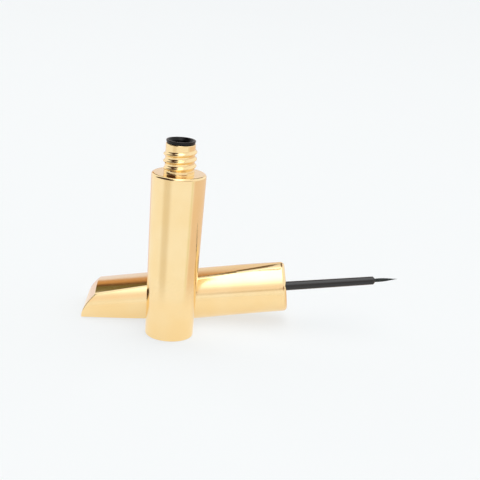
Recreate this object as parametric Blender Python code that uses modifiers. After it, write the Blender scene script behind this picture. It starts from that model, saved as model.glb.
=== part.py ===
"""A liquid eyeliner, unscrewed. The bottle stands on its foot at the origin, +Z up. The applicator,
which is the cap with its liner, rod and brush, lies behind it with the brush towards +X. Metres."""

import math

import bmesh
import bpy
from mathutils import Vector

# Driving dimensions
BOTTLE_HEIGHT = 0.0495  # foot to shoulder
FOOT_RADIUS = 0.00712
SHOULDER_RADIUS = 0.008
TUBE_WALL = 0.0012
NECK_HEIGHT = 0.0087  # shoulder to the neck's top edge
NECK_RADIUS = 0.0043
NECK_WALL = 0.0011
THREAD_PITCH = 0.00203
THREAD_HEIGHT = 0.00056  # crest above the neck
CAP_LENGTH = 0.0633  # mouth to the lower edge of the far end
CAP_TOP_LENGTH = 0.0586  # mouth to the upper edge of the far end
CAP_MOUTH_RADIUS = 0.00764
CAP_FAR_RADIUS = 0.0098
SHELL_WALL = 0.0012
ROD_REACH = 0.0279  # mouth to the rod's end
ROD_RADIUS = 0.00141  # at the mouth
ROD_END_RADIUS = 0.00127
BRUSH_LENGTH = 0.0075
BRUSH_RADIUS = 0.00055
MOUTH_BESIDE_BOTTLE = 0.03497  # the lying cap's mouth beyond the bottle's axis, along X
CAP_FROM_BOTTLE = 0.00153  # clear space between the bottle and the lying cap, along Y
FIT = 0.00015  # clearance between two pieces that touch
CLOSED_GAP = 0.0003  # the closed cap's mouth above the shoulder

# Fineness of the mesh
ROUND_STEPS = 48
SMALL_STEPS = 32
FILLET_STEPS = 3
WELD = 0.000001
OVERRUN = 0.002  # how far a cutter stands past what it cuts
SHARP_ANGLE = math.radians(35)

# Places on the tube that its neighbours share
NECK_BORE = NECK_RADIUS - NECK_WALL
NECK_TOP = BOTTLE_HEIGHT + NECK_HEIGHT
FOOT_BORE = FOOT_RADIUS - TUBE_WALL
PLUG_SEAT = 0.0034  # height of the straight bore at the foot
LABEL_THICKNESS = 0.00012
WIPER_RIM = 0.00085  # height of the wiper's rim
THREAD_CREST = NECK_RADIUS + THREAD_HEIGHT
THREAD_START = 0.00128  # the thread's lower end above the shoulder
THREAD_TURNS_SHARE = 2.75
THREAD_FIRST_SHARE = -0.55  # the turn at which the thread starts, counted from the +X side


def clear_scene():
    for obj in list(bpy.data.objects):
        bpy.data.objects.remove(obj)


def new_collection(name):
    made = bpy.data.collections.new(name)
    bpy.context.scene.collection.children.link(made)
    return made


def gild(obj):
    """The metallised gold coat that the bottle and the cap share."""
    finish(obj, colour=(0.83, 0.58, 0.27), roughness=0.3, metallic=1.0)


def finish(obj, colour, roughness, metallic=0.0):
    """Gives the piece its own material."""
    made = bpy.data.materials.new(obj.name)
    made.use_nodes = True
    shader = made.node_tree.nodes["Principled BSDF"]
    shader.inputs["Base Color"].default_value = (*colour, 1.0)
    shader.inputs["Roughness"].default_value = roughness
    shader.inputs["Metallic"].default_value = metallic
    obj.data.materials.clear()
    obj.data.materials.append(made)


def settle(obj):
    """Replaces a curve or a Screw by the mesh that it makes, welded, and smooth up to its real edges."""
    graph = bpy.context.evaluated_depsgraph_get()
    mesh = bpy.data.meshes.new_from_object(obj.evaluated_get(graph))
    shape = bmesh.new()
    shape.from_mesh(mesh)
    bmesh.ops.remove_doubles(shape, verts=shape.verts, dist=WELD)
    shape.to_mesh(mesh)
    shape.free()
    mesh.shade_smooth()
    mesh.set_sharp_from_angle(angle=SHARP_ANGLE)
    name = obj.name
    settled = bpy.data.objects.new(name, mesh)
    obj.users_collection[0].objects.link(settled)
    settled.parent = obj.parent
    settled.rotation_euler = obj.rotation_euler
    bpy.data.objects.remove(obj)
    settled.name = name
    return settled


def rounded(corners):
    """The outline's points, with an arc at each corner that has a third value, its fillet radius."""
    points = []
    for i, (radius, height, *fillet) in enumerate(corners):
        corner = Vector((radius, height))
        if not fillet:
            points.append(corner)
            continue
        before = (Vector(corners[i - 1][:2]) - corner).normalized()
        after = (Vector(corners[(i + 1) % len(corners)][:2]) - corner).normalized()
        half_angle = before.angle(after) / 2
        reach = fillet[0] / math.tan(half_angle)
        centre = corner + (before + after).normalized() * fillet[0] / math.sin(half_angle)
        start = (corner + before * reach - centre).normalized()
        end = (corner + after * reach - centre).normalized()
        for step in range(FILLET_STEPS + 1):
            points.append(centre + start.slerp(end, step / FILLET_STEPS) * fillet[0])
    return points


def turned(name, corners, parent=None, collection=None, steps=ROUND_STEPS):
    """A turned solid. Its corners, as radius and height, run down the outer side and up the inner one."""
    points = rounded(corners)
    edges = [(i, i + 1) for i in range(len(points) - 1)]
    if corners[0][0] > 0:
        edges.append((len(points) - 1, 0))
    mesh = bpy.data.meshes.new(name)
    mesh.from_pydata([(radius, 0, height) for radius, height in points], edges, [])
    obj = bpy.data.objects.new(name, mesh)
    (collection or PARTS).objects.link(obj)
    obj.parent = parent
    screw = obj.modifiers.new("turn", "SCREW")
    screw.steps = steps
    screw.render_steps = steps
    screw.use_merge_vertices = True
    screw.merge_threshold = WELD
    return settle(obj)


def combine(obj, helper, operation):
    """Joins, cuts or intersects the piece with a helper, which stays in the scene as a wire."""
    helper.hide_render = True
    helper.display_type = "WIRE"
    modifier = obj.modifiers.new(helper.name, "BOOLEAN")
    modifier.operation = operation
    modifier.object = helper


def thread_ridge(name, crest, outward, ridge, start, parent=None):
    """A right-handed screw ridge: a tube along a helix, which thins and sinks into its wall at both ends."""
    point_count = 67
    sinking_points = 5
    end_size_share = 0.5
    curve = bpy.data.curves.new(name, "CURVE")
    curve.dimensions = "3D"
    curve.bevel_depth = ridge
    curve.bevel_resolution = 2
    curve.use_fill_caps = True
    spline = curve.splines.new("POLY")
    spline.points.add(point_count - 1)
    for i, point in enumerate(spline.points):
        turn = THREAD_TURNS_SHARE * i / (point_count - 1)
        angle = (THREAD_FIRST_SHARE + turn) * math.tau
        sunk_share = max(0.0, 1 - min(i, point_count - 1 - i) / sinking_points)
        centre = crest - outward * ridge * (1 + sunk_share * (1 - end_size_share))
        point.co = (centre * math.cos(angle), centre * math.sin(angle), start + turn * THREAD_PITCH, 1)
        point.radius = 1 - end_size_share * sunk_share
    obj = bpy.data.objects.new(name, curve)
    CUTTERS.objects.link(obj)
    obj.parent = parent
    return settle(obj)


# The bottle


def make_bottle_tube():
    """The tube with its flat shoulder and threaded neck, moulded in one and open at the foot."""
    thread_size = 0.0006
    shoulder_wall = 0.0014
    shoulder_fillet = 0.0007
    foot_fillet = 0.0005
    inner_fillet = 0.0008
    top_chamfer = 0.00015
    collar_height = 0.001
    collar_step = 0.00015
    under_shoulder = BOTTLE_HEIGHT - shoulder_wall
    collar_radius = NECK_RADIUS + collar_step
    collar_top = BOTTLE_HEIGHT + collar_height
    tube = turned(
        "bottle_tube",
        [
            (NECK_BORE, NECK_TOP),
            (NECK_RADIUS - top_chamfer, NECK_TOP),
            (NECK_RADIUS, NECK_TOP - top_chamfer),
            (NECK_RADIUS, collar_top + collar_step),
            (collar_radius, collar_top),
            (collar_radius, BOTTLE_HEIGHT),
            (SHOULDER_RADIUS, BOTTLE_HEIGHT, shoulder_fillet),
            (FOOT_RADIUS, 0, foot_fillet),
            (FOOT_BORE, 0),
            (FOOT_BORE, PLUG_SEAT),
            (SHOULDER_RADIUS - TUBE_WALL, under_shoulder, inner_fillet),
            (NECK_BORE, under_shoulder),
        ],
    )
    thread = thread_ridge("neck_thread", THREAD_CREST, 1, thread_size, BOTTLE_HEIGHT + THREAD_START)
    combine(tube, thread, "UNION")
    gild(tube)


def make_base_label():
    """The round sticker under the foot, in the recess below the plug and flush with the foot."""
    margin = 0.0006
    label_radius = FOOT_BORE - margin
    label = turned(
        "base_label",
        [(0, LABEL_THICKNESS), (label_radius, LABEL_THICKNESS), (label_radius, 0), (0, 0)],
    )
    finish(label, (0.7, 0.62, 0.5), 0.5)


def make_bottom_plug():
    """The cup pressed into the foot, which closes the tube. The mixing ball rests on its floor."""
    floor_wall = 0.001
    skirt_wall = 0.0009
    lead_in = 0.0003
    outer = FOOT_BORE - FIT
    floor = LABEL_THICKNESS + FIT
    floor_top = floor + floor_wall
    skirt_top = PLUG_SEAT - FIT
    plug = turned(
        "bottom_plug",
        [
            (0, floor_top),
            (outer - skirt_wall, floor_top),
            (outer - skirt_wall, skirt_top),
            (outer - lead_in, skirt_top),
            (outer, skirt_top - lead_in),
            (outer, floor),
            (0, floor),
        ],
    )
    finish(plug, (0.55, 0.37, 0.16), 0.45)
    return floor_top


def make_mixing_ball(floor_top):
    """The steel ball that stirs the liquid when the bottle is shaken."""
    ball_radius = 0.002
    ring_count = 12
    mesh = bpy.data.meshes.new("mixing_ball")
    shape = bmesh.new()
    bmesh.ops.create_uvsphere(shape, u_segments=2 * ring_count, v_segments=ring_count, radius=ball_radius)
    shape.to_mesh(mesh)
    shape.free()
    mesh.shade_smooth()
    ball = bpy.data.objects.new("mixing_ball", mesh)
    PARTS.objects.link(ball)
    ball.location.z = floor_top + FIT + ball_radius
    finish(ball, (0.55, 0.55, 0.56), 0.15, 1.0)


def make_wiper():
    """The black insert in the neck: a rim on the neck's edge, a funnel, and a sleeve that ends in a lip."""
    rim_fillet = 0.0002
    rim_taper = 0.0001
    rim_wall = 0.0009
    funnel_depth = 0.0022
    sleeve_length = 0.0072
    sleeve_wall = 0.0006
    bead_height = 0.0001
    bead_length = 0.0006
    lip_length = 0.0006
    rod_play = 0.00012
    rim_bottom = NECK_TOP + FIT
    rim_top = rim_bottom + WIPER_RIM
    bead_radius = NECK_BORE - FIT
    sleeve_radius = bead_radius - bead_height
    sleeve_bottom = rim_bottom - sleeve_length
    bead_top = rim_bottom - sleeve_length / 2
    tunnel = sleeve_radius - sleeve_wall
    lip = ROD_RADIUS + rod_play
    wiper = turned(
        "wiper",
        [
            (NECK_RADIUS - rim_wall, rim_top),
            (NECK_RADIUS, rim_top, rim_fillet),
            (NECK_RADIUS - rim_taper, rim_bottom),
            (sleeve_radius, rim_bottom),
            (sleeve_radius, bead_top + bead_height),
            (bead_radius, bead_top),
            (bead_radius, bead_top - bead_length),
            (sleeve_radius, bead_top - bead_length - bead_height),
            (sleeve_radius, sleeve_bottom),
            (lip, sleeve_bottom),
            (lip, sleeve_bottom + lip_length),
            (tunnel, sleeve_bottom + lip_length + tunnel - lip),
            (tunnel, rim_top - funnel_depth),
        ],
        steps=SMALL_STEPS,
    )
    finish(wiper, (0.012, 0.012, 0.013), 0.35)


# The applicator, in its own frame: the mouth is at the origin and +Z runs up the cap to its far end,
# as when it is on the bottle. +X is the side of the cap that is uppermost where it lies.

UPPER_DROP = 0.00006  # the upper facet below the body's edge at the mouth
UPPER_FAR = 0.00416  # the upper facet from the axis, at the far end
LOWER_FAR = 0.00246  # the lower facet from the axis, at the far end
LOWER_START = 0.0235  # where the lower facet leaves the round body
LINER_WALL = 0.00075
THREAD_PLAY = 0.00014  # between the neck thread's crest and the liner
LINER_BORE = THREAD_CREST + THREAD_PLAY
LINER_RADIUS = LINER_BORE + LINER_WALL
HEAD_WALL = 0.0016
SEAL_GAP = 0.0003  # from the closed wiper's rim to the liner's head
HEAD_BOTTOM = NECK_HEIGHT + FIT + WIPER_RIM - CLOSED_GAP + SEAL_GAP
HEAD_TOP = HEAD_BOTTOM + HEAD_WALL
SOCKET_DEPTH = 0.0026  # the rod's socket above the head
ROD_ROOT = HEAD_TOP + SOCKET_DEPTH
BRUSH_PLAY = 0.00005
BRUSH_BORE = 0.003  # depth of the rod's bore


def cap_radius(height):
    """The turned body's radius, which flares from the mouth to the far end."""
    flare_share = 1.5
    return CAP_MOUTH_RADIUS + (CAP_FAR_RADIUS - CAP_MOUTH_RADIUS) * (height / CAP_LENGTH) ** flare_share


def upper_facet(height):
    """The upper facet's place across the cap."""
    at_mouth = CAP_MOUTH_RADIUS - UPPER_DROP
    return at_mouth - (at_mouth - UPPER_FAR) * height / CAP_TOP_LENGTH


def lower_facet(height):
    """The lower facet's place across the cap, which is below the axis and so negative."""
    return -LOWER_FAR - LOWER_SLOPE * (CAP_LENGTH - height)


def far_end(across):
    """The far end's height, which is level at the lower facet and slopes back to the upper one."""
    curve_share = 1.8
    share = max(0.0, (across + LOWER_FAR) / (UPPER_FAR + LOWER_FAR))
    return CAP_LENGTH + (CAP_TOP_LENGTH - CAP_LENGTH) * share**curve_share


def rod_radius(height):
    """The rod tapers evenly, from its root in the liner through the mouth to its end."""
    return ROD_RADIUS + (ROD_RADIUS - ROD_END_RADIUS) * height / ROD_REACH


LOWER_SLOPE = (cap_radius(LOWER_START) - LOWER_FAR) / (CAP_LENGTH - LOWER_START)


def lay_applicator():
    """The empty that carries the applicator: on its lower facet, with the mouth beside the bottle."""
    tilt = math.atan(LOWER_SLOPE)
    empty = bpy.data.objects.new("applicator", None)
    PARTS.objects.link(empty)
    empty.location = (
        MOUTH_BESIDE_BOTTLE,
        SHOULDER_RADIUS + CAP_FROM_BOTTLE + cap_radius(MOUTH_BESIDE_BOTTLE),
        -lower_facet(0) * math.cos(tilt),
    )
    empty.rotation_euler.y = -math.pi / 2 - tilt
    return empty


def side_view(name, wall, end_wall, applicator):
    """A prism of the cap's side view, drawn in by its walls. It gives a turned body the cap's facets."""
    end_points = 10
    meeting_rounds = 6

    def upper(height):
        return upper_facet(height) - wall

    def lower(height):
        return lower_facet(height) + wall

    def meeting(facet):
        """Where a facet meets the far end, across the cap."""
        height = CAP_TOP_LENGTH
        for _ in range(meeting_rounds):
            height = far_end(facet(height)) - end_wall
        return facet(height)

    start = -OVERRUN - OVERRUN
    highest, lowest = meeting(upper), meeting(lower)
    outline = [(upper(start), start)]
    for i in range(end_points + 1):
        across = highest + (lowest - highest) * i / end_points
        outline.append((across, far_end(across) - end_wall))
    outline.append((lower(start), start))

    curve = bpy.data.curves.new(name, "CURVE")
    curve.dimensions = "2D"
    curve.fill_mode = "BOTH"
    curve.extrude = CAP_FAR_RADIUS + OVERRUN
    spline = curve.splines.new("POLY")
    spline.points.add(len(outline) - 1)
    spline.use_cyclic_u = True
    for point, (across, height) in zip(spline.points, outline):
        point.co = (across, height, 0, 1)
    obj = bpy.data.objects.new(name, curve)
    CUTTERS.objects.link(obj)
    obj.parent = applicator
    obj.rotation_euler.x = math.pi / 2
    prism = settle(obj)
    prism.data.shade_flat()
    return prism


def flared(name, wall, foot, fillet, applicator, collection):
    """A turned body of the cap's flare, drawn in by a wall, from its foot to past the far end."""
    ring_count = 9
    top = CAP_LENGTH + OVERRUN
    corners = [(0, top)]
    for i in range(ring_count):
        height = top + (foot - top) * i / ring_count
        corners.append((cap_radius(height) - wall, height))
    corners += [(cap_radius(foot) - wall, foot, *fillet), (0, foot)]
    return turned(name, corners, applicator, collection)


def make_cap_shell(applicator):
    """The metallised cap: a flared round body cut by two facets and a slanted far end, and hollow."""
    mouth_fillet = 0.0012
    end_wall = 0.002
    bore_top = HEAD_TOP + FIT
    bore_radius = LINER_RADIUS + FIT
    shell = flared("cap_shell", 0, 0, [mouth_fillet], applicator, PARTS)
    combine(shell, side_view("cap_side", 0, 0, applicator), "INTERSECT")
    hollow = flared("cap_hollow", SHELL_WALL, bore_top - WELD, [], applicator, CUTTERS)
    combine(hollow, side_view("hollow_side", SHELL_WALL, end_wall, applicator), "INTERSECT")
    combine(shell, hollow, "DIFFERENCE")
    bore = turned(
        "liner_bore",
        [(0, bore_top), (bore_radius, bore_top), (bore_radius, -OVERRUN), (0, -OVERRUN)],
        applicator,
        CUTTERS,
    )
    combine(shell, bore, "DIFFERENCE")
    gild(shell)


def make_inner_cap(applicator):
    """The liner pressed into the mouth: threaded like the neck, with a head and a socket for the rod."""
    ridge_size = 0.00045
    ridge_play = 0.0003
    mouth_recess = 0.0003
    lead_in = 0.0003
    stem_wall = 0.0009
    stem_top = ROD_ROOT + stem_wall
    socket_radius = rod_radius(ROD_ROOT) + FIT
    stem_radius = socket_radius + stem_wall
    liner = turned(
        "inner_cap",
        [
            (0, stem_top),
            (stem_radius, stem_top, lead_in),
            (stem_radius, HEAD_TOP),
            (LINER_RADIUS, HEAD_TOP, lead_in),
            (LINER_RADIUS, mouth_recess),
            (LINER_BORE + lead_in, mouth_recess),
            (LINER_BORE, mouth_recess + lead_in),
            (LINER_BORE, HEAD_BOTTOM),
            (socket_radius, HEAD_BOTTOM),
            (socket_radius, ROD_ROOT),
            (0, ROD_ROOT),
        ],
        applicator,
    )
    half_pitch = THREAD_PITCH / 2
    start = THREAD_START - CLOSED_GAP - half_pitch
    ridge = thread_ridge("liner_thread", NECK_RADIUS + ridge_play, -1, ridge_size, start, applicator)
    combine(liner, ridge, "UNION")
    finish(liner, (0.02, 0.02, 0.022), 0.45)


def make_wand_rod(applicator):
    """The black rod, bored at its end for the brush."""
    end_chamfer = 0.0005
    end_face = 0.0007
    end_step = 0.00007
    root_chamfer = 0.0002
    root = ROD_ROOT - FIT
    bore_radius = BRUSH_RADIUS + BRUSH_PLAY
    rod = turned(
        "wand_rod",
        [
            (0, root),
            (rod_radius(root) - root_chamfer, root),
            (rod_radius(root), root - root_chamfer),
            (ROD_RADIUS, 0),
            (rod_radius(end_chamfer - ROD_REACH), end_chamfer - ROD_REACH),
            (ROD_END_RADIUS - end_step, end_chamfer - ROD_REACH),
            (end_face, -ROD_REACH),
            (bore_radius, -ROD_REACH),
            (bore_radius, BRUSH_BORE - ROD_REACH),
            (0, BRUSH_BORE - ROD_REACH),
        ],
        applicator,
        steps=SMALL_STEPS,
    )
    finish(rod, (0.012, 0.012, 0.013), 0.3)


def make_brush_tip(applicator):
    """The tuft: three-sided bristles on a slice of their backing, which fills the rod's bore.
    All lean to the axis by one rule, so that none crosses another, and the outer ones end first."""
    sides = 6
    rows = 8  # a hexagon of this many rows of triangles a side holds 6 x 8 x 8 bristles
    inset_share = 0.022  # of the tuft's radius, on each side of a bristle
    gather_share = 0.38  # how wide the tuft still is, at a bristle that reaches the point
    outer_loss_share = 0.5  # how much shorter the outermost bristles are
    rounding_share = 1.3
    mesh = bpy.data.meshes.new("brush_tip")
    shape = bmesh.new()
    bmesh.ops.create_circle(shape, cap_ends=True, cap_tris=True, segments=sides, radius=1)
    bmesh.ops.subdivide_edges(shape, edges=shape.edges, cuts=rows - 1, use_grid_fill=True)
    for vert in shape.verts:
        vert.co *= rim_share(vert.co, sides)
    bristles = list(shape.faces)
    rim = [edge for edge in shape.edges if edge.is_boundary]
    backing = bmesh.ops.extrude_edge_only(shape, edges=rim)["geom"]
    for item in backing:
        if isinstance(item, bmesh.types.BMVert):
            item.co.z = BRUSH_BORE - FIT
    bmesh.ops.contextual_create(shape, geom=[edge for edge in shape.edges if edge.is_boundary])
    bmesh.ops.recalc_face_normals(shape, faces=shape.faces)
    bmesh.ops.inset_individual(shape, faces=bristles, thickness=inset_share)
    for tip in bmesh.ops.extrude_discrete_faces(shape, faces=bristles)["faces"]:
        outward_share = tip.calc_center_median().xy.length
        length_share = 1 - outer_loss_share * outward_share**rounding_share
        for vert in tip.verts:
            vert.co *= 1 - (1 - gather_share) * length_share
            vert.co.z = -BRUSH_LENGTH * length_share
    for vert in shape.verts:
        vert.co.x *= BRUSH_RADIUS
        vert.co.y *= BRUSH_RADIUS
        vert.co.z -= ROD_REACH
    shape.to_mesh(mesh)
    shape.free()
    brush = bpy.data.objects.new("brush_tip", mesh)
    PARTS.objects.link(brush)
    brush.parent = applicator
    finish(brush, (0.035, 0.042, 0.04), 0.6)


def rim_share(place, sides):
    """What turns a hexagon's place into a disc's: its distance by rows over its distance."""
    if place.length == 0:
        return 1
    half_side = math.pi / sides
    turn = (math.atan2(place.y, place.x) + half_side) % (2 * half_side) - half_side
    return math.cos(turn) / math.cos(half_side)


clear_scene()
PARTS = new_collection("eyeliner")
CUTTERS = new_collection("eyeliner_cutters")
make_bottle_tube()
make_base_label()
make_mixing_ball(make_bottom_plug())
make_wiper()
APPLICATOR = lay_applicator()
make_cap_shell(APPLICATOR)
make_inner_cap(APPLICATOR)
make_wand_rod(APPLICATOR)
make_brush_tip(APPLICATOR)
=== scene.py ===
import math
import random

import bmesh
import bpy
from mathutils import Matrix, Vector


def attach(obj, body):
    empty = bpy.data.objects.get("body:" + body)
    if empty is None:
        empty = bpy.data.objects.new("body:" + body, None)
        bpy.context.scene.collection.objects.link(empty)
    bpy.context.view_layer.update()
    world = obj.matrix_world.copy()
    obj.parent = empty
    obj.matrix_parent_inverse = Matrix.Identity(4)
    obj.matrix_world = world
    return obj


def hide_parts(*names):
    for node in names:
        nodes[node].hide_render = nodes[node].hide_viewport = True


# A liquid eyeliner, unscrewed: the bottle stands on its foot at the origin, and its cap, which carries
# the rod and the brush, lies behind it. Metres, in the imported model's frame.
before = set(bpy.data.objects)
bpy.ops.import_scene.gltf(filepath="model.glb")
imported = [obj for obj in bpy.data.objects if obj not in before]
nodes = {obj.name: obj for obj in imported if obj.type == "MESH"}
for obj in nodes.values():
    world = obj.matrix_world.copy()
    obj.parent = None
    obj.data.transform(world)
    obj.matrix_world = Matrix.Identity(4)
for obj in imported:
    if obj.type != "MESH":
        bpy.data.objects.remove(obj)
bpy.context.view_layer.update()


# The bottle tube: one moulding with a flat shoulder and a threaded neck, open at the neck and the foot.
# Its outside carries a vacuum-metallised champagne gold coat under a clear lacquer, which follows
# every ridge of the thread.
FOOT_RADIUS = 0.00712
FOOT_FILLET = 0.0005
SHOULDER_RADIUS = 0.008
SHOULDER_HEIGHT = 0.0495
SHOULDER_FILLET = 0.0007
SHOULDER_WALL = 0.0014
SHOULDER_INNER_FILLET = 0.0008
TUBE_WALL = 0.0012
FOOT_BORE = FOOT_RADIUS - TUBE_WALL
PLUG_SEAT = 0.0034
NECK_TOP = 0.0582
NECK_RADIUS = 0.0043
NECK_BORE = 0.0032
NECK_FILLET = 0.0002
NECK_PLAIN = 0.0003  # the plain stretch under the neck's edge
COLLAR_RADIUS = 0.00445
COLLAR_TOP = 0.0505
COLLAR_STEP = 0.00015
COLLAR_FILLET = 0.00006
COLLAR_ROOT = 0.00012
FINE_EDGE = 0.0001
THREAD_HEIGHT = 0.00056
THREAD_HALF_WIDTH = 0.00078
THREAD_PITCH = 0.00203
THREAD_BOTTOM = 0.05078
THREAD_TURNS = 2.75
THREAD_FIRST_TURN = -0.55
THREAD_FADE_TURNS = 0.12
RING_SPACING = 0.0001
ARC_STEPS = 7
ROUND_SIDES = 128
SMOOTH_BELOW = math.radians(34)
WELD = 0.0000005
GOLD_DRIFT = 0.011
LACQUER_PEEL = 0.0012
LACQUER_DEPTH = 0.00004
GOLD_SCUFF = 0.00035
PALE_GOLD = (253, 228, 177)
DEEP_GOLD = (252, 223, 166)
SCUFFED_GOLD = (240, 205, 150)


def rounded(corners):
    """The outline's points, as radius and height, with an arc at each corner that has a fillet."""
    points = []
    for i, (radius, height, *fillet) in enumerate(corners):
        corner = Vector((radius, height))
        if not fillet:
            points.append(corner)
            continue
        before = (Vector(corners[i - 1][:2]) - corner).normalized()
        after = (Vector(corners[(i + 1) % len(corners)][:2]) - corner).normalized()
        half_angle = before.angle(after) / 2
        reach = fillet[0] / math.tan(half_angle)
        centre = corner + (before + after).normalized() * fillet[0] / math.sin(half_angle)
        start = (corner + before * reach - centre).normalized()
        end = (corner + after * reach - centre).normalized()
        for step in range(ARC_STEPS + 1):
            points.append(centre + start.slerp(end, step / ARC_STEPS) * fillet[0])
    return points


def rings(radius, top, bottom):
    """Corners close together down a straight wall, for a thread to be raised on."""
    count = round((top - bottom) / RING_SPACING)
    return [(radius, top + (bottom - top) * i / count) for i in range(count + 1)]


def edit(piece):
    """Opens the piece in edit mode with nothing selected, and gives its mesh."""
    bpy.ops.object.select_all(action="DESELECT")
    bpy.context.view_layer.objects.active = piece
    piece.select_set(True)
    bpy.ops.object.mode_set(mode="EDIT")
    bpy.ops.mesh.select_mode(type="VERT")
    bpy.ops.mesh.select_all(action="DESELECT")
    return bmesh.from_edit_mesh(piece.data)


def close_edit():
    """Welds what meets, turns the faces outwards and goes back to the object."""
    bpy.ops.mesh.select_all(action="SELECT")
    bpy.ops.mesh.remove_doubles(threshold=WELD)
    bpy.ops.mesh.normals_make_consistent(inside=False)
    bpy.ops.object.mode_set(mode="OBJECT")


def smooth(piece):
    """Smooth up to the real edges, with normals that follow the large faces and not their fillets."""
    bpy.ops.object.shade_smooth_by_angle(angle=SMOOTH_BELOW)
    weighted = piece.modifiers.new("weighted", "WEIGHTED_NORMAL")
    weighted.keep_sharp = True
    bpy.ops.object.modifier_apply(modifier=weighted.name)


def turned(name, outline, sides=ROUND_SIDES):
    """Draws an outline of radius and height point by point, and spins it round the Z axis."""
    bpy.ops.object.select_all(action="DESELECT")
    first_radius, first_height = outline[0]
    bpy.ops.mesh.primitive_circle_add(vertices=3, radius=RING_SPACING)
    piece = bpy.context.object
    piece.name = name
    piece.data.name = name
    edit(piece)
    bpy.ops.mesh.select_all(action="SELECT")
    bpy.ops.mesh.merge(type="CENTER")
    bpy.ops.transform.translate(value=(first_radius, 0, first_height))
    for here, there in zip(outline, outline[1:]):
        step = (there[0] - here[0], 0, there[1] - here[1])
        bpy.ops.mesh.extrude_region_move(TRANSFORM_OT_translate={"value": step})
    if first_radius > 0:
        shape = bmesh.from_edit_mesh(piece.data)
        for vert in shape.verts:
            vert.select_set(len(vert.link_edges) == 1)
        bpy.ops.mesh.edge_face_add()
    bpy.ops.mesh.select_all(action="SELECT")
    bpy.ops.mesh.spin(steps=sides, angle=math.tau, center=(0, 0, 0), axis=(0, 0, 1))
    close_edit()
    return piece


def thread_rise(angle, height, half_width):
    """How far a right-handed thread stands up at a place on its wall, from 0 to 1."""
    turn = (angle / math.tau - THREAD_FIRST_TURN) % 1
    rise = 0.0
    while turn <= THREAD_TURNS:
        off = abs(height - turn * THREAD_PITCH) / half_width
        if off < 1:
            to_end = min(turn, THREAD_TURNS - turn) / THREAD_FADE_TURNS
            fade = math.sin(min(to_end, 1) * math.pi / 2) ** 2
            rise = max(rise, fade * (0.5 + 0.5 * math.cos(off * math.pi)))
        turn += 1
    return rise


def raise_thread(piece, radius, bottom, height, half_width):
    """Moves the rings of a straight wall in or out, where the thread runs."""
    shape = edit(piece)
    for vert in shape.verts:
        here = vert.co.xy.length
        if abs(here - radius) < WELD * 2:
            rise = thread_rise(math.atan2(vert.co.y, vert.co.x), vert.co.z - bottom, half_width)
            vert.co.xy *= 1 + height * rise / here
    bmesh.update_edit_mesh(piece.data)
    close_edit()


bottle = turned(
    "bottle_skin",
    rounded(
        [(NECK_BORE, NECK_TOP, FINE_EDGE), (NECK_RADIUS, NECK_TOP, NECK_FILLET)]
        + rings(NECK_RADIUS, NECK_TOP - NECK_PLAIN, COLLAR_TOP + COLLAR_STEP)
        + [
            (COLLAR_RADIUS, COLLAR_TOP, COLLAR_FILLET),
            (COLLAR_RADIUS, SHOULDER_HEIGHT, COLLAR_ROOT),
            (SHOULDER_RADIUS, SHOULDER_HEIGHT, SHOULDER_FILLET),
            (FOOT_RADIUS, 0, FOOT_FILLET),
            (FOOT_BORE, 0, FINE_EDGE),
            (FOOT_BORE, PLUG_SEAT),
            (SHOULDER_RADIUS - TUBE_WALL, SHOULDER_HEIGHT - SHOULDER_WALL, SHOULDER_INNER_FILLET),
            (NECK_BORE, SHOULDER_HEIGHT - SHOULDER_WALL),
        ]
    ),
)
raise_thread(bottle, NECK_RADIUS, THREAD_BOTTOM, THREAD_HEIGHT, THREAD_HALF_WIDTH)
smooth(bottle)


class Wire:
    """A shader socket. Sums and products of wires add Math nodes."""

    def __init__(self, tree, socket=None):
        self.tree = tree
        self.socket = socket

    def node(self, kind, settings=None, values=None, output=0):
        """Adds any node: its settings first, then its inputs, each a plain value or another wire."""
        made = self.tree.nodes.new(kind)
        for name, setting in (settings or {}).items():
            setattr(made, name, setting)
        for name, value in (values or {}).items():
            if isinstance(value, Wire):
                self.tree.links.new(value.socket, made.inputs[name])
            else:
                made.inputs[name].default_value = value
        return Wire(self.tree, made.outputs[output])

    def math(self, operation, first, second=0.0):
        return self.node("ShaderNodeMath", {"operation": operation}, {0: first, 1: second})

    def __add__(self, other):
        return self.math("ADD", self, other)

    def __radd__(self, other):
        return self.math("ADD", other, self)

    def __sub__(self, other):
        return self.math("SUBTRACT", self, other)

    def __rsub__(self, other):
        return self.math("SUBTRACT", other, self)

    def __mul__(self, other):
        return self.math("MULTIPLY", self, other)

    def __rmul__(self, other):
        return self.math("MULTIPLY", other, self)

    def rise(self, start, end):
        """0 below start, 1 above end, and smooth between them."""
        settings = {"interpolation_type": "SMOOTHSTEP"}
        return self.node("ShaderNodeMapRange", settings, {"Value": self, 1: start, 2: end})

    def blend(self, colour, other):
        """This wire's share of the other colour, laid over the first one."""
        return self.node("ShaderNodeMix", {"data_type": "RGBA"}, {0: self, 6: colour, 7: other}, 2)


def srgb(red, green, blue):
    """A colour picked on a screen, as the light values that a shader takes."""

    def light(value):
        share = value / 255
        return share / 12.92 if share <= 0.04045 else ((share + 0.055) / 1.055) ** 2.4

    return (light(red), light(green), light(blue), 1)


def new_finish(name, sockets):
    """A Principled material with its constant sockets set, and the wire at its object coordinates."""
    material = bpy.data.materials.new(name)
    material.use_nodes = True
    tree = material.node_tree
    shader = tree.nodes["Principled BSDF"]
    for socket, value in sockets.items():
        shader.inputs[socket].default_value = value
    place = Wire(tree).node("ShaderNodeTexCoord", output="Object")
    return material, shader, place


def noise(place, size, detail=2.0, roughness=0.5):
    """Soft noise from 0 to 1 whose lumps are about so large, in metres."""
    return place.node(
        "ShaderNodeTexNoise",
        values={"Vector": place, "Scale": 1 / size, "Detail": detail, "Roughness": roughness},
        output="Fac",
    )


def connect(wire, shader, socket):
    wire.tree.links.new(wire.socket, shader.inputs[socket])


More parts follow.
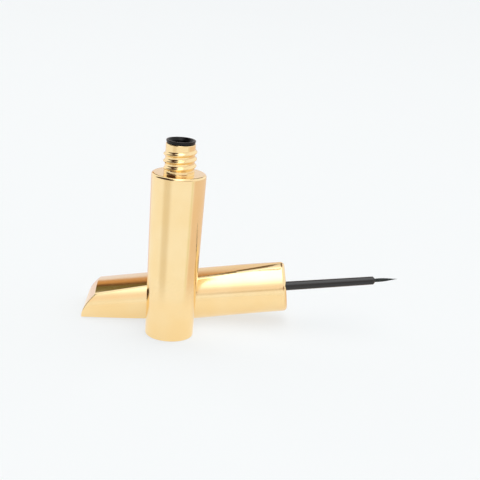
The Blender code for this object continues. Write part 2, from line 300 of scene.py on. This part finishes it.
def bump(height, strength, distance):
    """Normals for a relief of so many metres."""
    return height.node(
        "ShaderNodeBump", values={"Height": height, "Strength": strength, "Distance": distance}
    )


def dress(piece, material, body, slot, *replaced):
    """Gives a piece its material and its body, and hides the imported nodes that it stands for. Its slot
    is not used.
    """
    piece.data.materials.clear()
    piece.data.materials.append(material)
    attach(piece, body)
    if replaced:
        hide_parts(*replaced)


def gold_finish(name):
    """Metallised gold: slow drifts of tone, the orange peel of the lacquer, and dust-fine scuffs."""
    sockets = {"Metallic": 1.0, "Coat Weight": 0.25, "Coat Roughness": 0.04}
    material, shader, place = new_finish(name, sockets)
    drift = noise(place, GOLD_DRIFT)
    peel = noise(place, LACQUER_PEEL, detail=1.0)
    scuff = noise(place, GOLD_SCUFF, detail=4.0, roughness=0.7).rise(0.62, 0.78)
    tone = drift.rise(0.3, 0.7).blend(srgb(*PALE_GOLD), srgb(*DEEP_GOLD))
    connect(scuff.blend(tone, srgb(*SCUFFED_GOLD)), shader, "Base Color")
    connect(0.105 + 0.05 * drift + 0.03 * peel + 0.08 * scuff, shader, "Roughness")
    connect(bump(peel + 0.5 * drift, 0.12, LACQUER_DEPTH), shader, "Normal")
    return material


gold = gold_finish("champagne_gold")
dress(bottle, gold, "bottle", "gold", "bottle_tube")


# The wiper: a soft black moulding pressed into the neck. Its rim rests on the neck's edge, and a funnel
# leads the brush into a sleeve that ends in a narrow lip.
RIM_TOP = 0.0592
RIM_BOTTOM = 0.05835
RIM_BORE = 0.00378
RIM_FLARE = 0.00018  # how much narrower the rim is at its bottom than at its top
RIM_FILLET = 0.00016
RIM_FOOT_FILLET = 0.00006
SLEEVE_RADIUS = 0.00295
SLEEVE_BOTTOM = 0.05115
SLEEVE_FILLET = 0.00015
BEAD_RADIUS = 0.00305
BEAD_TOP = 0.05475
BEAD_BOTTOM = 0.05415
BEAD_SLOPE = 0.0001
LIP_RADIUS = 0.00153
LIP_HEIGHT = 0.0006
TUNNEL_RADIUS = 0.00235
TUNNEL_RISE = 0.00142  # from the sleeve's bottom to where the tunnel has its full width
TUNNEL_FILLET = 0.0002
FUNNEL_DEPTH = 0.0022
FUNNEL_FILLET = 0.0005
WIPER_TONE = 14
WIPER_GRAIN = 0.00012
BLACK_DRIFT = 0.004
BLACK_DUST = 0.0005
BLACK_DEPTH = 0.00003


def black_finish(name, roughness, tone, grain, gloss=0.25):
    """Black moulded plastic: a fine spark-eroded grain, slow drifts of gloss, and a little dust."""
    material, shader, place = new_finish(name, {"Specular IOR Level": gloss, "IOR": 1.49})
    drift = noise(place, BLACK_DRIFT)
    grains = noise(place, grain, detail=3.0, roughness=0.6)
    dust = noise(place, BLACK_DUST, detail=3.0, roughness=0.75).rise(0.66, 0.8)
    dark = drift.blend(srgb(tone, tone, tone + 1), srgb(tone + 7, tone + 7, tone + 9))
    connect(dust.blend(dark, srgb(tone + 34, tone + 34, tone + 36)), shader, "Base Color")
    connect(roughness + 0.1 * drift + 0.12 * dust, shader, "Roughness")
    connect(bump(grains, 0.18, BLACK_DEPTH), shader, "Normal")
    return material


wiper = turned(
    "wiper_insert",
    rounded(
        [
            (RIM_BORE, RIM_TOP, FINE_EDGE),
            (NECK_RADIUS, RIM_TOP, RIM_FILLET),
            (NECK_RADIUS - RIM_FLARE, RIM_BOTTOM, RIM_FOOT_FILLET),
            (SLEEVE_RADIUS, RIM_BOTTOM),
            (SLEEVE_RADIUS, BEAD_TOP + BEAD_SLOPE),
            (BEAD_RADIUS, BEAD_TOP),
            (BEAD_RADIUS, BEAD_BOTTOM),
            (SLEEVE_RADIUS, BEAD_BOTTOM - BEAD_SLOPE),
            (SLEEVE_RADIUS, SLEEVE_BOTTOM, SLEEVE_FILLET),
            (LIP_RADIUS, SLEEVE_BOTTOM, FINE_EDGE),
            (LIP_RADIUS, SLEEVE_BOTTOM + LIP_HEIGHT, FINE_EDGE),
            (TUNNEL_RADIUS, SLEEVE_BOTTOM + TUNNEL_RISE, TUNNEL_FILLET),
            (TUNNEL_RADIUS, RIM_TOP - FUNNEL_DEPTH, FUNNEL_FILLET),
        ]
    ),
)
smooth(wiper)
wiper_black = black_finish("wiper_black", 0.24, WIPER_TONE, WIPER_GRAIN)
dress(wiper, wiper_black, "bottle", "wiper_black", "wiper")


# The plug, the round label and the mixing ball: a cup in amber plastic pressed into the foot, a bare
# satin sticker under it, and a polished steel ball that rolls about inside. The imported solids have
# their full shape, so they are only given their finishes.
PLUG_DRIFT = 0.002
PLUG_GRAIN = 0.00015
PLUG_DEPTH = 0.00003
DARK_AMBER = (176, 132, 72)
PALE_AMBER = (196, 152, 88)
LABEL_FIBRE = 0.0003
LABEL_DRIFT = 0.003
LABEL_DEPTH = 0.00002
LABEL_SHADE = (222, 208, 180)
LABEL_LIGHT = (236, 224, 200)
STEEL_DRIFT = 0.001
STEEL_MARKS = 0.0002
STEEL_DEPTH = 0.00002
BRIGHT_STEEL = (206, 206, 208)
MARKED_STEEL = (176, 177, 180)


def plug_finish():
    material, shader, place = new_finish("plug_amber", {"IOR": 1.5})
    drift = noise(place, PLUG_DRIFT)
    grains = noise(place, PLUG_GRAIN, detail=3.0, roughness=0.6)
    connect(drift.blend(srgb(*DARK_AMBER), srgb(*PALE_AMBER)), shader, "Base Color")
    connect(0.34 + 0.12 * drift + 0.08 * grains, shader, "Roughness")
    connect(bump(grains, 0.2, PLUG_DEPTH), shader, "Normal")
    return material


def label_finish():
    material, shader, place = new_finish("bare_label", {"IOR": 1.5})
    fibre = noise(place, LABEL_FIBRE, detail=5.0, roughness=0.7)
    drift = noise(place, LABEL_DRIFT)
    connect(fibre.blend(srgb(*LABEL_SHADE), srgb(*LABEL_LIGHT)), shader, "Base Color")
    connect(0.42 + 0.12 * drift + 0.1 * fibre, shader, "Roughness")
    connect(bump(fibre, 0.25, LABEL_DEPTH), shader, "Normal")
    return material


def steel_finish():
    material, shader, place = new_finish("ball_steel", {"Metallic": 1.0})
    drift = noise(place, STEEL_DRIFT)
    marks = noise(place, STEEL_MARKS, detail=4.0, roughness=0.8).rise(0.6, 0.75)
    connect(marks.blend(srgb(*BRIGHT_STEEL), srgb(*MARKED_STEEL)), shader, "Base Color")
    connect(0.08 + 0.06 * drift + 0.2 * marks, shader, "Roughness")
    connect(bump(marks, 0.1, STEEL_DEPTH), shader, "Normal")
    return material


for name, material in (
    ("bottom_plug", plug_finish()),
    ("base_label", label_finish()),
    ("mixing_ball", steel_finish()),
):
    nodes[name].data.materials.clear()
    nodes[name].data.materials.append(material)


# The cap shell: a long flared moulding in the bottle's gold, cut by an upper and a lower facet that
# widen to the slanted far end. It lies on its lower facet. In its own frame the mouth is at the origin,
# +Z runs to the far end and +X is the side that is uppermost.
CAP_LENGTH = 0.0633
CAP_TOP_LENGTH = 0.0586
CAP_MOUTH_RADIUS = 0.00764
CAP_FAR_RADIUS = 0.0098
CAP_FLARE = 1.5  # the power of the height that the radius follows
CHISEL_CURVE = 1.8  # the power that the far end's slope follows
MOUTH_FILLET = 0.0012
CAP_BORE = 0.0059
CAP_BORE_EDGE = 0.00015
CAP_BORE_DEPTH = 0.01145
POCKET_RADIUS = 0.0029
POCKET_DEPTH = 0.0151
UPPER_AT_MOUTH = 0.00758
UPPER_FAR = 0.00416
UPPER_SMALLEST = math.acos(0.9999)  # half the turn that the upper facet keeps where it runs out
LOWER_FAR = 0.00246
LOWER_START = 0.0235
LOWER_SMALLEST = math.radians(7)  # the same for the lower facet
FACET_COLUMNS = 12
SIDE_COLUMNS = 36
LENGTH_RINGS = 46
END_ROUNDS = 12  # how often a line's height at the far end is worked out again from its own outline
CREASE_BEVEL = 0.00022
CREASE_STEPS = 3
CREASE_ANGLE = math.radians(9)
ROLL_WIDTH = 0.0014  # the strip along each crease where the upper facet rolls over, at the mouth
ROLL_DROP = 0.00027
ROLL_LOSS = 0.6  # how much of the strip is lost by the far end
UPPER_CROWN = 0.001  # how far the upper facet swells between its edges at the far end
CROWN_ALONG = 2.5  # the power by which the crown grows from the mouth
CROWN_ACROSS = 2.2  # the power by which it falls off to the edges
END_BULGE = 6  # the power by which the far end's face takes up the crown towards its upper edge


def cap_radius(height):
    share = max(0.0, height / CAP_LENGTH) ** CAP_FLARE
    return CAP_MOUTH_RADIUS + (CAP_FAR_RADIUS - CAP_MOUTH_RADIUS) * share


LOWER_SLOPE = (cap_radius(LOWER_START) - LOWER_FAR) / (CAP_LENGTH - LOWER_START)
MOUTH_PLACE = Vector((0.03497, 0.018057, 0.011361))
LAID = Matrix.Translation(MOUTH_PLACE) @ Matrix.Rotation(-math.pi / 2 - math.atan(LOWER_SLOPE), 4, "Y")


def far_end(across):
    """The far end's height: level at the lower facet, and sloping back to the upper one."""
    share = min(1.0, max(0.0, (across + LOWER_FAR) / (UPPER_FAR + LOWER_FAR)))
    return CAP_LENGTH + (CAP_TOP_LENGTH - CAP_LENGTH) * share**CHISEL_CURVE


def section(side, along, height, inset=0.0):
    """A place on the cap's outline at one height. Side runs from -1 to 1 round the front or the back,
    and along from -1, at the lower facet, to 1, at the upper one."""
    radius = cap_radius(height) - inset
    crown = UPPER_CROWN * max(0.0, height / CAP_TOP_LENGTH) ** CROWN_ALONG
    upper = UPPER_AT_MOUTH - (UPPER_AT_MOUTH - UPPER_FAR) * height / CAP_TOP_LENGTH - inset
    upper_turn = max(UPPER_SMALLEST, math.acos(min(1, upper / radius)))
    lower = LOWER_FAR + LOWER_SLOPE * (CAP_LENGTH - height) - inset
    lower_turn = max(LOWER_SMALLEST, math.acos(min(1, lower / radius)))
    if along >= 1:
        edge = radius * math.sin(upper_turn)
        roll = 1 - ROLL_LOSS * height / CAP_TOP_LENGTH
        inner = edge - min(ROLL_WIDTH * roll, edge / 2)
        if abs(side) >= 1:
            return upper, side * edge
        reach = side / (1 - 2 / FACET_COLUMNS) * inner
        return upper + ROLL_DROP * roll + crown * (1 - abs(reach / edge) ** CROWN_ACROSS), reach
    if along <= -1:
        turn = math.atan2(side * math.sin(lower_turn), math.cos(lower_turn))
        reach = min(radius, lower / math.cos(turn))
        return -reach * math.cos(turn), reach * math.sin(turn)
    turn = upper_turn + (math.pi - lower_turn - upper_turn) * (1 - along) / 2
    return radius * math.cos(turn), math.copysign(radius * math.sin(turn), side)


def column_end(side, along):
    """The height at which one line down the cap meets the far end."""
    height = CAP_TOP_LENGTH
    for _ in range(END_ROUNDS):
        height = far_end(section(side, along, height)[0])
    return height


bpy.ops.object.select_all(action="DESELECT")
bpy.ops.mesh.primitive_grid_add(x_subdivisions=FACET_COLUMNS, y_subdivisions=SIDE_COLUMNS, size=2)
cap = bpy.context.object
cap.name = "cap_skin"
cap.data.name = "cap_skin"
shape = edit(cap)
side_of = shape.verts.layers.float.new("side")
along_of = shape.verts.layers.float.new("along")
for vert in shape.verts:
    side, along = round(vert.co.x, 5), round(vert.co.y, 5)
    vert[side_of], vert[along_of] = side, along
    if abs(side) >= 1 or abs(along) >= 1:
        height = column_end(side, along)
        vert.co = (*section(side, along, height), height)
        continue
    across, reach = section(1, along, column_end(1, along))
    end_bulge = section(side, 1, CAP_TOP_LENGTH)[0] - section(1, 1, CAP_TOP_LENGTH)[0]
    across += end_bulge * max(0.0, along) ** END_BULGE
    vert.co = (across, side * reach, far_end(across))
bpy.ops.mesh.select_non_manifold()


def next_ring(place):
    """Extrudes the open rim, and puts each new vertex where its line down the cap says."""
    bpy.ops.mesh.extrude_edges_move()
    shape = bmesh.from_edit_mesh(cap.data)
    side_of = shape.verts.layers.float["side"]
    along_of = shape.verts.layers.float["along"]
    for vert in shape.verts:
        if vert.select:
            vert.co = place(vert[side_of], vert[along_of])
    bmesh.update_edit_mesh(cap.data)


def on_side(share):
    def place(side, along):
        height = MOUTH_FILLET + (column_end(side, along) - MOUTH_FILLET) * share
        return (*section(side, along, height), height)

    return place


def on_mouth(turn):
    def place(side, along):
        height = MOUTH_FILLET * (1 - math.sin(turn))
        return (*section(side, along, height, MOUTH_FILLET * (1 - math.cos(turn))), height)

    return place


def on_bore(radius, height):
    def place(side, along):
        across, reach = section(side, along, 0)
        return (*(Vector((across, reach)).normalized() * radius), height)

    return place


for ring in range(LENGTH_RINGS - 1, -1, -1):
    next_ring(on_side(ring / LENGTH_RINGS))
for step in range(1, ARC_STEPS + 2):
    next_ring(on_mouth(math.pi / 2 * step / (ARC_STEPS + 1)))
for radius, height in rounded(
    [
        (CAP_MOUTH_RADIUS - MOUTH_FILLET, 0),
        (CAP_BORE, 0, CAP_BORE_EDGE),
        (CAP_BORE, CAP_BORE_DEPTH),
        (POCKET_RADIUS, CAP_BORE_DEPTH),
        (POCKET_RADIUS, POCKET_DEPTH),
    ]
)[1:]:
    next_ring(on_bore(radius, height))
bpy.ops.mesh.merge(type="COLLAPSE")
close_edit()
shape = edit(cap)
bpy.ops.mesh.select_mode(type="EDGE")
for line in shape.edges:
    low, high = sorted(vert.co.z for vert in line.verts)
    sharp = len(line.link_faces) == 2 and line.calc_face_angle() > CREASE_ANGLE
    line.select_set(sharp and low > MOUTH_FILLET and high > POCKET_DEPTH)
bpy.ops.mesh.bevel(offset=CREASE_BEVEL, segments=CREASE_STEPS, affect="EDGES", clamp_overlap=True)
close_edit()
smooth(cap)


def lay(piece):
    """Puts a piece of the applicator where it lies, with its place in its mesh."""
    bpy.ops.object.select_all(action="DESELECT")
    piece.select_set(True)
    bpy.context.view_layer.objects.active = piece
    piece.matrix_world = LAID
    bpy.ops.object.transform_apply(location=True, rotation=True, scale=True)


lay(cap)
dress(cap, gold, "applicator", "gold", "cap_shell")


# The liner: a black moulding pressed into the cap's mouth, threaded like the neck, with a head that
# seals on the wiper's rim and a socket that holds the rod.
LINER_RADIUS = 0.00575
LINER_BORE = 0.005
LINER_RIM = 0.0003
LINER_LEAD = 0.0001  # how much wider the bore is at the rim
LINER_FILLET = 0.0003
LINER_ROOT = 0.0002
LINER_EDGE = 0.00012
LINER_SIDES = 96
HEAD_BOTTOM = 0.0097
HEAD_TOP = 0.0113
ROD_ROOT = 0.0139
SOCKET_RADIUS = 0.00163
SOCKET_EDGE = 0.00015
STEM_RADIUS = 0.00253
STEM_TOP = 0.0148
LINER_PLAIN_RIM = 0.0005  # the bore's plain stretches below and above its thread
LINER_PLAIN_HEAD = 0.0003
LINER_THREAD_BOTTOM = -0.000035
LINER_THREAD_HEIGHT = 0.0004
LINER_THREAD_HALF_WIDTH = 0.0005
LINER_TONE = 20
LINER_GRAIN = 0.00016

liner = turned(
    "liner",
    rounded(
        [
            (0, STEM_TOP),
            (STEM_RADIUS, STEM_TOP, LINER_FILLET),
            (STEM_RADIUS, HEAD_TOP, LINER_ROOT),
            (LINER_RADIUS, HEAD_TOP, LINER_FILLET),
            (LINER_RADIUS, LINER_RIM, LINER_EDGE),
            (LINER_BORE + LINER_LEAD, LINER_RIM, LINER_ROOT),
        ]
        + rings(LINER_BORE, LINER_RIM + LINER_PLAIN_RIM, HEAD_BOTTOM - LINER_PLAIN_HEAD)
        + [
            (LINER_BORE, HEAD_BOTTOM, LINER_ROOT),
            (SOCKET_RADIUS, HEAD_BOTTOM, SOCKET_EDGE),
            (SOCKET_RADIUS, ROD_ROOT),
            (0, ROD_ROOT),
        ]
    ),
    LINER_SIDES,
)
raise_thread(liner, LINER_BORE, LINER_THREAD_BOTTOM, -LINER_THREAD_HEIGHT, LINER_THREAD_HALF_WIDTH)
smooth(liner)
lay(liner)
liner_black = black_finish("liner_black", 0.34, LINER_TONE, LINER_GRAIN)
dress(liner, liner_black, "applicator", "liner_black", "inner_cap")


# The rod: a slim glossy black moulding, tapered to a chamfered end that is bored for the brush.
# Its root sits in the liner's socket.
ROD_REACH = 0.0279
ROD_RADIUS = 0.00141
ROD_END_RADIUS = 0.00127
ROD_PLAY = 0.00015
ROD_FILLET = 0.0002
ROD_CHAMFER = 0.0005
ROD_FACE_RADIUS = 0.00078
ROD_BORE = 0.0006
ROD_BORE_EDGE = 0.00004
ROD_BORE_DEPTH = 0.003
ROD_SIDES = 64
ROD_TONE = 12
ROD_GRAIN = 0.0002


def rod_radius(height):
    return ROD_RADIUS + (ROD_RADIUS - ROD_END_RADIUS) * height / ROD_REACH


rod = turned(
    "rod",
    rounded(
        [
            (0, ROD_ROOT - ROD_PLAY),
            (rod_radius(ROD_ROOT), ROD_ROOT - ROD_PLAY, ROD_FILLET),
            (rod_radius(ROD_CHAMFER - ROD_REACH), ROD_CHAMFER - ROD_REACH, FINE_EDGE),
            (ROD_FACE_RADIUS, -ROD_REACH, FINE_EDGE),
            (ROD_BORE, -ROD_REACH, ROD_BORE_EDGE),
            (ROD_BORE, ROD_BORE_DEPTH - ROD_REACH),
            (0, ROD_BORE_DEPTH - ROD_REACH),
        ]
    ),
    ROD_SIDES,
)
smooth(rod)
lay(rod)
rod_black = black_finish("rod_black", 0.12, ROD_TONE, ROD_GRAIN, gloss=0.6)
dress(rod, rod_black, "applicator", "rod_black", "wand_rod")


# The brush: a tuft of fine dark synthetic bristles, glued into the rod's end and gathered to a point.
# The outer bristles end first, and each one bends a little its own way.
BRISTLE_COUNT = 460
BRISTLE_RADIUS = 0.000021
BRISTLE_SIDES = 5
BRISTLE_RINGS = 9
TUFT_RADIUS = 0.00053
TUFT_LENGTH = 0.00748
TUFT_ROOT = 0.0022
OUTER_LOSS = 0.38  # how much shorter the outermost bristles are
OUTER_CURVE = 1.5
UNEVEN = 0.06
STRAY = 0.00003
GATHER_SHARE = 0.1
GATHER_CURVE = 1.9
BELLY = 0.1
TIP_LOSS = 0.75  # how much thinner a bristle is at its tip
TIP_CURVE = 3
CHANCE_START = 4
GOLDEN_TURN = math.pi * (3 - math.sqrt(5))
BRISTLE_STREAK = 0.0003
BRISTLE_WET = 0.0016
BRISTLE_DEPTH = 0.00001
DRY_BRISTLE = (74, 82, 80)
DARK_BRISTLE = (36, 42, 42)
WET_BRISTLE = (24, 27, 28)

bpy.ops.object.select_all(action="DESELECT")
bpy.ops.mesh.primitive_cylinder_add(vertices=BRISTLE_SIDES, radius=1, depth=1, end_fill_type="TRIFAN")
bristle = bpy.context.object
shape = edit(bristle)
for line in shape.edges:
    line.select_set(abs(line.verts[0].co.z - line.verts[1].co.z) > 0.5)
bpy.ops.mesh.subdivide(number_cuts=BRISTLE_RINGS - 1)
close_edit()
bpy.ops.object.shade_smooth()

chance = random.Random(CHANCE_START)
bristles = []
for i in range(BRISTLE_COUNT):
    outward = math.sqrt((i + 0.5) / BRISTLE_COUNT)
    turn = i * GOLDEN_TURN
    root = Vector((math.cos(turn), math.sin(turn))) * outward * TUFT_RADIUS
    reach = TUFT_LENGTH * (1 - OUTER_LOSS * outward**OUTER_CURVE) * (1 - UNEVEN * chance.random())
    stray = Vector((chance.uniform(-1, 1), chance.uniform(-1, 1))) * STRAY
    copy = bristle.copy()
    copy.data = bristle.data.copy()
    bpy.context.scene.collection.objects.link(copy)
    for vert in copy.data.vertices:
        share = vert.co.z + 0.5
        out = -TUFT_ROOT + (reach + TUFT_ROOT) * share
        gather_share = max(0.0, out / TUFT_LENGTH)
        own_share = max(0.0, out / reach)
        width = 1 - (1 - GATHER_SHARE) * gather_share**GATHER_CURVE
        belly = math.sin(math.pi * own_share) * BELLY
        point = root * (width + belly) + stray * math.sin(math.pi * gather_share)
        thin = 1 - TIP_LOSS * own_share**TIP_CURVE
        vert.co.x = vert.co.x * BRISTLE_RADIUS * thin + point.x
        vert.co.y = vert.co.y * BRISTLE_RADIUS * thin + point.y
        vert.co.z = -ROD_REACH - out
    bristles.append(copy)
bpy.data.objects.remove(bristle)
bpy.ops.object.select_all(action="DESELECT")
for copy in bristles:
    copy.select_set(True)
bpy.context.view_layer.objects.active = bristles[0]
bpy.ops.object.join()
brush = bpy.context.object
brush.name = "brush"
brush.data.name = "brush"
lay(brush)
edit(brush)
close_edit()


def bristle_finish():
    """Dark filaments, paler in streaks and darkest where the liquid has wetted them."""
    material, shader, place = new_finish("bristle", {"Specular IOR Level": 0.5})
    streak = noise(place, BRISTLE_STREAK, detail=3.0, roughness=0.6)
    wet = noise(place, BRISTLE_WET)
    tone = streak.rise(0.3, 0.75).blend(srgb(*DARK_BRISTLE), srgb(*DRY_BRISTLE))
    connect(wet.rise(0.5, 0.8).blend(tone, srgb(*WET_BRISTLE)), shader, "Base Color")
    connect(0.5 - 0.2 * wet + 0.1 * streak, shader, "Roughness")
    connect(bump(streak, 0.15, BRISTLE_DEPTH), shader, "Normal")
    return material


dress(brush, bristle_finish(), "applicator", "bristle", "brush_tip")


# The floor: a pale matt sheet that keeps the object's soft shadow. A share of it glows, so that it
# stays as light as the backdrop. Away from the object it lets mirrored rays through to the studio.
FLOOR_SIZE = 6
FLOOR_CUTS = 7
FLOOR_CLOUD = 0.25
FLOOR_SHADE = (248, 247, 242)
FLOOR_LIGHT = (250, 249, 244)
COOL_WHITE = (244, 250, 255)
WARM_WHITE = (255, 249, 240)
GLOW_SEEN = 0.62
GLOW_MIRRORED = 0.75
CLEAR_FROM = 0.03
CLEAR_TO = 0.06

bpy.ops.mesh.primitive_plane_add(size=FLOOR_SIZE)
floor = bpy.context.object
floor.name = "floor"
floor.data.name = "floor"
bpy.ops.object.mode_set(mode="EDIT")
bpy.ops.mesh.subdivide(number_cuts=FLOOR_CUTS)
bpy.ops.object.mode_set(mode="OBJECT")
surface, paint, place = new_finish("pale_floor", {"Roughness": 1.0, "Specular IOR Level": 0.0})
tree = surface.node_tree
cloud = noise(place, FLOOR_CLOUD)
connect(cloud.blend(srgb(*FLOOR_SHADE), srgb(*FLOOR_LIGHT)), paint, "Base Color")
mirrored = place.node("ShaderNodeLightPath", output="Is Glossy Ray")
in_view = Wire(tree, mirrored.socket.node.outputs["Is Camera Ray"])
away = place.node("ShaderNodeVectorMath", {"operation": "LENGTH"}, {0: place}, "Value")
white = mirrored.blend(srgb(*COOL_WHITE), srgb(*WARM_WHITE))
glow = place.node("ShaderNodeEmission", values={"Color": white, "Strength": 1.0})
clear = place.node("ShaderNodeBsdfTransparent")
glow_share = in_view * GLOW_SEEN + mirrored * GLOW_MIRRORED
painted = Wire(tree, paint.outputs[0])
lit = place.node("ShaderNodeMixShader", values={0: glow_share, 1: painted, 2: glow})
clear_share = mirrored * away.rise(CLEAR_FROM, CLEAR_TO)
seen = place.node("ShaderNodeMixShader", values={0: clear_share, 1: lit, 2: clear})
tree.links.new(seen.socket, tree.nodes["Material Output"].inputs["Surface"])
floor.data.materials.append(surface)


# The studio: white all round for the camera, and for the gold a tent with light and dark cards, which
# a polished surface shows as its bands. Angles are in degrees, and a card's edges are as soft as said.
BACKDROP = (247, 251, 254)
TENT = (1.0, 1.0, 1.0)
CEILING = (2.3, 2.3, 2.3)
LEAN_START = 4
LEAN_END = 16

studio = bpy.data.worlds.new("studio")
studio.use_nodes = True
bpy.context.scene.world = studio
tree = studio.node_tree
for node in list(tree.nodes):
    tree.nodes.remove(node)
start = Wire(tree)
direction = start.node("ShaderNodeTexCoord", output="Generated")
split = direction.node("ShaderNodeSeparateXYZ", values={0: direction}).socket.node
east, north, up = (Wire(tree, split.outputs[i]) for i in range(3))
lift = start.math("ARCSINE", up) * math.degrees(1)  # above the horizon
right = start.math("ARCTAN2", east, 0.0 - north) * math.degrees(1)  # from the camera round to its right
left = start.math("ARCTAN2", 0.0 - east, north) * math.degrees(1)  # from behind the object to its left
leaning = start.node("ShaderNodeClamp", values={"Value": left, "Min": 0.0, "Max": LEAN_END}) - LEAN_START


def band(value, low, high, soft):
    """1 between two angles and 0 outside them, with soft edges."""
    return value.rise(low - soft, low + soft) * (1 - value.rise(high - soft, high + soft))


front = 1 - start.math("ABSOLUTE", right).rise(55, 75)
behind = band(left, -26, 24, 5)
below = 1 - lift.rise(-8, 0)
shelf = (lift + leaning * 1.2).rise(20, 22) * (1 - (lift + leaning * 0.9).rise(48, 51))
narrow = 1 - start.math("ABSOLUTE", east).rise(0.12, 0.3)
overhead = lift.rise(22, 66) * narrow * (1 - north.rise(0.3, 0.6))
light = overhead.blend((*TENT, 1), (*CEILING, 1))
for card, colour in (
    (below * band(right, -60, -28, 9), (0.84, 0.79, 0.72)),  # floor cards, left and right of the camera
    (below * right.rise(67, 77), (0.86, 0.70, 0.60)),
    (below * band(right, 62, 68, 4), (0.82, 0.80, 0.62)),
    (band(lift, 10, 26, 9) * front, (1.0, 0.88, 0.80)),  # a peach wall, with a brown rail at its foot
    (band(lift, 2, 10, 2.5) * front * right.rise(-1, 3), (0.60, 0.45, 0.33)),
    (band(lift, 8, 18, 3) * band(right, 22, 60, 4), (0.30, 0.12, 0.06)),
    (band(lift, -2, 66, 4) * band(right, -105, -20, 6), (0.05, 0.02, 0.012)),  # the dark wall at the left
    (below * band(left, 8, 36, 6), (0.90, 0.77, 0.76)),  # a pink card under the far end
    (behind * band(lift, -5, 15, 2), (0.86, 0.80, 0.84)),  # the back wall, pale and then peach
    (behind * band(lift, 15, 22, 2), (0.93, 0.79, 0.62)),
    (behind * leaning.rise(2, 5) * band(lift, 68, 76, 2), (0.30, 0.14, 0.05)),  # a high brown rail
    (behind * shelf, (0.62, 0.32, 0.12)),  # the leaning shelf: orange, near black and olive
    (behind * shelf * lift.rise(21.5, 24), (0.12, 0.05, 0.02)),
    (behind * shelf * leaning.rise(3, 6) * lift.rise(26, 29), (0.17, 0.14, 0.05)),
):
    light = card.blend(light, (*colour, 1))
in_view = start.node("ShaderNodeLightPath", output="Is Camera Ray")
around = start.node("ShaderNodeBackground", values={"Color": light, "Strength": 1.0})
backdrop = start.node("ShaderNodeBackground", values={"Color": srgb(*BACKDROP), "Strength": 1.0})
either = start.node("ShaderNodeMixShader", values={0: in_view, 1: around, 2: backdrop})
tree.links.new(either.socket, tree.nodes.new("ShaderNodeOutputWorld").inputs["Surface"])


# The soft box: a long lamp straight overhead, which gives the soft shadow and isn't mirrored itself.
# It points down on the object.
BOX_PLACE = Vector((0, 0, 0.75))
BOX_TARGET = Vector((0, 0, 0.02))
BOX_SIZE = (0.32, 1.4)
BOX_WATTS = 0.9

lamp = bpy.data.lights.new("overhead_box", "AREA")
lamp.shape = "RECTANGLE"
lamp.size, lamp.size_y = BOX_SIZE
lamp.energy = BOX_WATTS
holder = bpy.data.objects.new("overhead_box", lamp)
holder.location = BOX_PLACE
holder.rotation_euler = (BOX_TARGET - BOX_PLACE).to_track_quat("-Z", "Y").to_euler()
holder.visible_glossy = False
bpy.context.scene.collection.objects.link(holder)


# The camera: a third of a metre away and a little above the object, turned slightly about its own axis.
# Its place and its angles were fitted to the photograph's outlines.
FOCAL_PIXELS = 1150
FRAME_PIXELS = 480
SENSOR = 36
NEAR_CLIP = 0.01
CAMERA_PLACE = Vector((0.00884, -0.32268, 0.12679))
ELEVATION = math.radians(16.58)
YAW = math.radians(1.81)
ROLL = math.radians(4.63)

forward = Vector(
    (math.sin(YAW) * math.cos(ELEVATION), math.cos(YAW) * math.cos(ELEVATION), -math.sin(ELEVATION))
)
level = Vector((math.cos(YAW), -math.sin(YAW), 0))
upward = level.cross(forward)
rolled_level = level * math.cos(ROLL) + upward * math.sin(ROLL)
rolled_upward = upward * math.cos(ROLL) - level * math.sin(ROLL)
lens = bpy.data.cameras.new("camera")
lens.sensor_width = SENSOR
lens.lens = FOCAL_PIXELS * SENSOR / FRAME_PIXELS
lens.clip_start = NEAR_CLIP
camera = bpy.data.objects.new("camera", lens)
axes = Matrix((rolled_level, rolled_upward, -forward)).transposed().to_4x4()
camera.matrix_world = Matrix.Translation(CAMERA_PLACE) @ axes
bpy.context.scene.collection.objects.link(camera)
bpy.context.scene.camera = camera
bpy.context.scene.view_settings.view_transform = "Standard"
